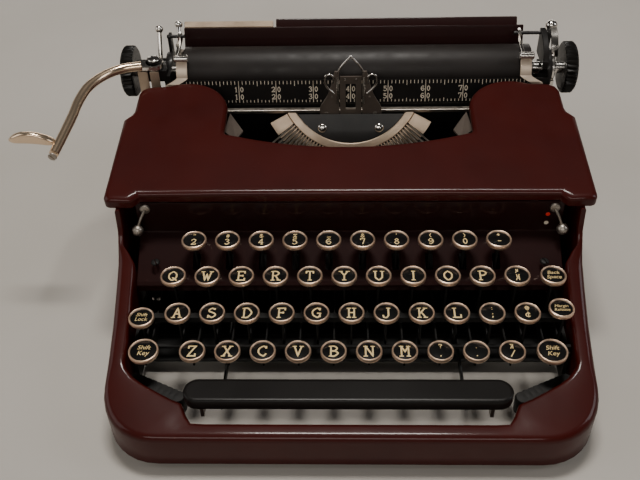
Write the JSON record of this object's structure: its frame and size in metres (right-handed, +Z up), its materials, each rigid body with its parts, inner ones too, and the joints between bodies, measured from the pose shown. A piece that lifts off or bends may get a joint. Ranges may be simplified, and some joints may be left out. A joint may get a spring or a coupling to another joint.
{
  "type": "portable typewriter",
  "caption": "Manual portable typewriter with round glass-topped keys, a maroon body, a sliding carriage with rubber platen and a cranked chrome return lever.",
  "frame": {"origin": "centre of the base on the desk, midway between the rubber feet", "axes": "+X to the typist's right, +Y to the rear, +Z up"},
  "size_m": [0.3614, 0.2905, 0.1308],
  "materials": {
    "lacquer": "deep maroon gloss lacquer",
    "black_works": "black satin enamel",
    "bright_metal": "polished nickel and chrome",
    "steel_works": "worn bare steel",
    "platen_rubber": "matt black rubber",
    "foot_rubber": "matt black rubber",
    "key_metal": "black lever with nickel ring and gloss face",
    "knob_plastic": "black moulded plastic, ribbed edge",
    "space_bar_plastic": "black moulded plastic, satin",
    "scale_enamel": "black enamel with pale ticks and numerals"
  },
  "bodies": {
    "base": {"base_shell": "lacquer", "front_panel": "lacquer", "inner_frame": "black_works", "rubber_feet": "foot_rubber", "carriage_rail": "steel_works", "bell": "bright_metal"},
    "carriage": {"carriage_frame": "black_works", "scale_plate": "scale_enamel", "paper_table": "lacquer"},
    "deck": {"deck_cover": "lacquer"},
    "lever": {"return_lever": "bright_metal"},
    "platen": {"platen_roller": "platen_rubber", "platen_knobs": "knob_plastic"},
    "feed": {"feed_rollers": "platen_rubber"},
    "finger_left": {"paper_finger_left": "bright_metal"},
    "finger_right": {"paper_finger_right": "bright_metal"},
    "space_key": {"space_bar": "space_bar_plastic"},
    "shift": {"shift_keys": "key_metal"},
    "lock": {"shift_lock": "key_metal"},
    "basket": {"type_segment": "steel_works", "type_bars": "steel_works"},
    "key_h_body": {"key_h": "key_metal"},
    "h_bar": {"type_bar_h": "steel_works"},
    "vibrator": {"ribbon_vibrator": "black_works"},
    "back_space_body": {"back_space": "key_metal"},
    "margin_release_body": {"margin_release": "key_metal"},
    "figure_keys_body": {"figure_keys": "key_metal"},
    "selector": {"ribbon_selector": "bright_metal"},
    "reverse": {"ribbon_reverse": "bright_metal"},
    "paper_release_lever": {"paper_release": "bright_metal"},
    "line_selector": {"line_space_selector": "bright_metal"},
    "release_lever": {"carriage_release": "bright_metal"},
    "spool_left": {"ribbon_spool_left": "black_works"},
    "spool_right": {"ribbon_spool_right": "black_works"},
    "mainspring": {"mainspring_drum": "black_works"},
    "key_z_body": {"key_z": "key_metal"},
    "key_x_body": {"key_x": "key_metal"},
    "key_c_body": {"key_c": "key_metal"},
    "key_v_body": {"key_v": "key_metal"},
    "key_b_body": {"key_b": "key_metal"},
    "key_n_body": {"key_n": "key_metal"},
    "key_m_body": {"key_m": "key_metal"},
    "key_a_body": {"key_a": "key_metal"},
    "key_s_body": {"key_s": "key_metal"},
    "key_d_body": {"key_d": "key_metal"},
    "key_f_body": {"key_f": "key_metal"},
    "key_g_body": {"key_g": "key_metal"},
    "key_j_body": {"key_j": "key_metal"},
    "key_k_body": {"key_k": "key_metal"},
    "key_l_body": {"key_l": "key_metal"},
    "key_q_body": {"key_q": "key_metal"},
    "key_w_body": {"key_w": "key_metal"},
    "key_e_body": {"key_e": "key_metal"},
    "key_r_body": {"key_r": "key_metal"},
    "key_t_body": {"key_t": "key_metal"},
    "key_y_body": {"key_y": "key_metal"},
    "key_u_body": {"key_u": "key_metal"},
    "key_i_body": {"key_i": "key_metal"},
    "key_o_body": {"key_o": "key_metal"},
    "key_p_body": {"key_p": "key_metal"}
  },
  "joints": [
    {"name": "carriage_slide", "type": "slide", "parent": "base", "child": "carriage", "axis": [1, 0, 0], "range_m": [-0.1118, 0.1016]},
    {"name": "deck_lift", "type": "slide", "parent": "base", "child": "deck", "axis": [0, 0, -1], "range_m": [-0.06, 0]},
    {"name": "return_lever_swing", "type": "hinge", "parent": "carriage", "child": "lever", "pos_m": [-0.13, 0.094, 0.117], "axis": [0, 0, 1], "range_deg": [0, 35]},
    {"name": "platen_turn", "type": "hinge", "parent": "carriage", "child": "platen", "pos_m": [0, 0.109, 0.103], "axis": [1, 0, 0], "continuous": true},
    {"name": "feed_roll", "type": "hinge", "parent": "carriage", "child": "feed", "pos_m": [0, 0.109, 0.0819], "axis": [1, 0, 0], "continuous": true},
    {"name": "paper_finger_left_lift", "type": "hinge", "parent": "carriage", "child": "finger_left", "pos_m": [0, 0.118, 0.1245], "axis": [-1, 0, 0], "range_deg": [0, 60]},
    {"name": "paper_finger_right_lift", "type": "hinge", "parent": "carriage", "child": "finger_right", "pos_m": [0, 0.118, 0.1245], "axis": [-1, 0, 0], "range_deg": [0, 60]},
    {"name": "space_bar_press", "type": "hinge", "parent": "base", "child": "space_key", "pos_m": [0, -0.052, 0.02], "axis": [1, 0, 0], "range_deg": [0, 5.5], "stiffness_Nm_per_rad": 0.8, "springref_deg": -22.92},
    {"name": "shift_press", "type": "hinge", "parent": "base", "child": "shift", "pos_m": [0, 0.07, 0.03], "axis": [1, 0, 0], "range_deg": [0, 3], "stiffness_Nm_per_rad": 2.5, "springref_deg": -22.92},
    {"name": "shift_lock_press", "type": "hinge", "parent": "shift", "child": "lock", "pos_m": [-0.1201, -0.04, 0.029], "axis": [1, 0, 0], "range_deg": [0, 3], "stiffness_Nm_per_rad": 0.1, "springref_deg": -22.92},
    {"name": "basket_shift", "type": "slide", "parent": "base", "child": "basket", "axis": [0, 0, -1], "range_m": [0, 0.005]},
    {"name": "key_h_press", "type": "hinge", "parent": "base", "child": "key_h_body", "pos_m": [0, 0.07, 0.03], "axis": [1, 0, 0], "range_deg": [0, 4.5], "stiffness_Nm_per_rad": 0.3, "springref_deg": -22.92},
    {"name": "type_bar_h_swing", "type": "hinge", "parent": "basket", "child": "h_bar", "pos_m": [0.00315, 0.06501, 0.06098], "axis": [-0.9998, -0.0111, -0.0192], "range_deg": [0, 118]},
    {"name": "vibrator_rise", "type": "slide", "parent": "basket", "child": "vibrator", "axis": [0, 0, 1], "range_m": [0, 0.008]},
    {"name": "back_space_press", "type": "hinge", "parent": "base", "child": "back_space_body", "pos_m": [0, 0.07, 0.03], "axis": [1, 0, 0], "range_deg": [0, 4.5], "stiffness_Nm_per_rad": 0.3, "springref_deg": -22.92},
    {"name": "margin_release_press", "type": "hinge", "parent": "base", "child": "margin_release_body", "pos_m": [0, 0.07, 0.03], "axis": [1, 0, 0], "range_deg": [0, 2.5], "stiffness_Nm_per_rad": 0.3, "springref_deg": -22.92},
    {"name": "figure_keys_press", "type": "hinge", "parent": "base", "child": "figure_keys_body", "pos_m": [0, 0.07, 0.03], "axis": [1, 0, 0], "range_deg": [0, 4.5], "stiffness_Nm_per_rad": 3, "springref_deg": -22.92},
    {"name": "ribbon_selector_swing", "type": "hinge", "parent": "base", "child": "selector", "pos_m": [0.1215, -0.0202, 0.0865], "axis": [0, 1, 0], "range_deg": [-12, 12]},
    {"name": "ribbon_reverse_swing", "type": "hinge", "parent": "base", "child": "reverse", "pos_m": [-0.1215, -0.0202, 0.0865], "axis": [0, 1, 0], "range_deg": [-12, 12]},
    {"name": "paper_release_swing", "type": "hinge", "parent": "carriage", "child": "paper_release_lever", "pos_m": [-0.1183, 0.124, 0.114], "axis": [1, 0, 0], "range_deg": [-10, 10]},
    {"name": "line_space_swing", "type": "hinge", "parent": "carriage", "child": "line_selector", "pos_m": [-0.1295, 0.112, 0.11], "axis": [1, 0, 0], "range_deg": [-10, 10]},
    {"name": "carriage_release_swing", "type": "hinge", "parent": "carriage", "child": "release_lever", "pos_m": [0.1397, 0.109, 0.103], "axis": [-1, 0, 0], "range_deg": [0, 12]},
    {"name": "spool_left_turn", "type": "hinge", "parent": "base", "child": "spool_left", "pos_m": [-0.107, 0.058, 0.082], "axis": [0, 0, 1], "continuous": true},
    {"name": "spool_right_turn", "type": "hinge", "parent": "base", "child": "spool_right", "pos_m": [0.107, 0.058, 0.082], "axis": [0, 0, 1], "continuous": true},
    {"name": "mainspring_turn", "type": "hinge", "parent": "base", "child": "mainspring", "pos_m": [-0.08, 0.128, 0.052], "axis": [0, 1, 0], "range_deg": [-380, 345]},
    {"name": "key_z_press", "type": "hinge", "parent": "base", "child": "key_z_body", "pos_m": [0, 0.07, 0.03], "axis": [1, 0, 0], "range_deg": [0, 4.5], "stiffness_Nm_per_rad": 0.3, "springref_deg": -22.92},
    {"name": "key_x_press", "type": "hinge", "parent": "base", "child": "key_x_body", "pos_m": [0, 0.07, 0.03], "axis": [1, 0, 0], "range_deg": [0, 4.5], "stiffness_Nm_per_rad": 0.3, "springref_deg": -22.92},
    {"name": "key_c_press", "type": "hinge", "parent": "base", "child": "key_c_body", "pos_m": [0, 0.07, 0.03], "axis": [1, 0, 0], "range_deg": [0, 4.5], "stiffness_Nm_per_rad": 0.3, "springref_deg": -22.92},
    {"name": "key_v_press", "type": "hinge", "parent": "base", "child": "key_v_body", "pos_m": [0, 0.07, 0.03], "axis": [1, 0, 0], "range_deg": [0, 4.5], "stiffness_Nm_per_rad": 0.3, "springref_deg": -22.92},
    {"name": "key_b_press", "type": "hinge", "parent": "base", "child": "key_b_body", "pos_m": [0, 0.07, 0.03], "axis": [1, 0, 0], "range_deg": [0, 4.5], "stiffness_Nm_per_rad": 0.3, "springref_deg": -22.92},
    {"name": "key_n_press", "type": "hinge", "parent": "base", "child": "key_n_body", "pos_m": [0, 0.07, 0.03], "axis": [1, 0, 0], "range_deg": [0, 4.5], "stiffness_Nm_per_rad": 0.3, "springref_deg": -22.92},
    {"name": "key_m_press", "type": "hinge", "parent": "base", "child": "key_m_body", "pos_m": [0, 0.07, 0.03], "axis": [1, 0, 0], "range_deg": [0, 4.5], "stiffness_Nm_per_rad": 0.3, "springref_deg": -22.92},
    {"name": "key_a_press", "type": "hinge", "parent": "base", "child": "key_a_body", "pos_m": [0, 0.07, 0.03], "axis": [1, 0, 0], "range_deg": [0, 4.5], "stiffness_Nm_per_rad": 0.3, "springref_deg": -22.92},
    {"name": "key_s_press", "type": "hinge", "parent": "base", "child": "key_s_body", "pos_m": [0, 0.07, 0.03], "axis": [1, 0, 0], "range_deg": [0, 4.5], "stiffness_Nm_per_rad": 0.3, "springref_deg": -22.92},
    {"name": "key_d_press", "type": "hinge", "parent": "base", "child": "key_d_body", "pos_m": [0, 0.07, 0.03], "axis": [1, 0, 0], "range_deg": [0, 4.5], "stiffness_Nm_per_rad": 0.3, "springref_deg": -22.92},
    {"name": "key_f_press", "type": "hinge", "parent": "base", "child": "key_f_body", "pos_m": [0, 0.07, 0.03], "axis": [1, 0, 0], "range_deg": [0, 4.5], "stiffness_Nm_per_rad": 0.3, "springref_deg": -22.92},
    {"name": "key_g_press", "type": "hinge", "parent": "base", "child": "key_g_body", "pos_m": [0, 0.07, 0.03], "axis": [1, 0, 0], "range_deg": [0, 4.5], "stiffness_Nm_per_rad": 0.3, "springref_deg": -22.92},
    {"name": "key_j_press", "type": "hinge", "parent": "base", "child": "key_j_body", "pos_m": [0, 0.07, 0.03], "axis": [1, 0, 0], "range_deg": [0, 4.5], "stiffness_Nm_per_rad": 0.3, "springref_deg": -22.92},
    {"name": "key_k_press", "type": "hinge", "parent": "base", "child": "key_k_body", "pos_m": [0, 0.07, 0.03], "axis": [1, 0, 0], "range_deg": [0, 4.5], "stiffness_Nm_per_rad": 0.3, "springref_deg": -22.92},
    {"name": "key_l_press", "type": "hinge", "parent": "base", "child": "key_l_body", "pos_m": [0, 0.07, 0.03], "axis": [1, 0, 0], "range_deg": [0, 4.5], "stiffness_Nm_per_rad": 0.3, "springref_deg": -22.92},
    {"name": "key_q_press", "type": "hinge", "parent": "base", "child": "key_q_body", "pos_m": [0, 0.07, 0.03], "axis": [1, 0, 0], "range_deg": [0, 4.5], "stiffness_Nm_per_rad": 0.3, "springref_deg": -22.92},
    {"name": "key_w_press", "type": "hinge", "parent": "base", "child": "key_w_body", "pos_m": [0, 0.07, 0.03], "axis": [1, 0, 0], "range_deg": [0, 4.5], "stiffness_Nm_per_rad": 0.3, "springref_deg": -22.92},
    {"name": "key_e_press", "type": "hinge", "parent": "base", "child": "key_e_body", "pos_m": [0, 0.07, 0.03], "axis": [1, 0, 0], "range_deg": [0, 4.5], "stiffness_Nm_per_rad": 0.3, "springref_deg": -22.92},
    {"name": "key_r_press", "type": "hinge", "parent": "base", "child": "key_r_body", "pos_m": [0, 0.07, 0.03], "axis": [1, 0, 0], "range_deg": [0, 4.5], "stiffness_Nm_per_rad": 0.3, "springref_deg": -22.92},
    {"name": "key_t_press", "type": "hinge", "parent": "base", "child": "key_t_body", "pos_m": [0, 0.07, 0.03], "axis": [1, 0, 0], "range_deg": [0, 4.5], "stiffness_Nm_per_rad": 0.3, "springref_deg": -22.92},
    {"name": "key_y_press", "type": "hinge", "parent": "base", "child": "key_y_body", "pos_m": [0, 0.07, 0.03], "axis": [1, 0, 0], "range_deg": [0, 4.5], "stiffness_Nm_per_rad": 0.3, "springref_deg": -22.92},
    {"name": "key_u_press", "type": "hinge", "parent": "base", "child": "key_u_body", "pos_m": [0, 0.07, 0.03], "axis": [1, 0, 0], "range_deg": [0, 4.5], "stiffness_Nm_per_rad": 0.3, "springref_deg": -22.92},
    {"name": "key_i_press", "type": "hinge", "parent": "base", "child": "key_i_body", "pos_m": [0, 0.07, 0.03], "axis": [1, 0, 0], "range_deg": [0, 4.5], "stiffness_Nm_per_rad": 0.3, "springref_deg": -22.92},
    {"name": "key_o_press", "type": "hinge", "parent": "base", "child": "key_o_body", "pos_m": [0, 0.07, 0.03], "axis": [1, 0, 0], "range_deg": [0, 4.5], "stiffness_Nm_per_rad": 0.3, "springref_deg": -22.92},
    {"name": "key_p_press", "type": "hinge", "parent": "base", "child": "key_p_body", "pos_m": [0, 0.07, 0.03], "axis": [1, 0, 0], "range_deg": [0, 4.5], "stiffness_Nm_per_rad": 0.3, "springref_deg": -22.92}
  ],
  "couplings": [
    {"joint": "feed_roll", "follows": "platen_turn", "ratio": -3.3333},
    {"joint": "basket_shift", "follows": "shift_press", "m_per_rad": 0.093583},
    {"joint": "type_bar_h_swing", "follows": "key_h_press", "ratio": 26.2},
    {"joint": "vibrator_rise", "follows": "key_h_press", "m_per_rad": 0.10059},
    {"joint": "spool_right_turn", "follows": "spool_left_turn", "ratio": 1},
    {"joint": "mainspring_turn", "follows": "carriage_slide", "rad_per_m": 55.556}
  ]
}
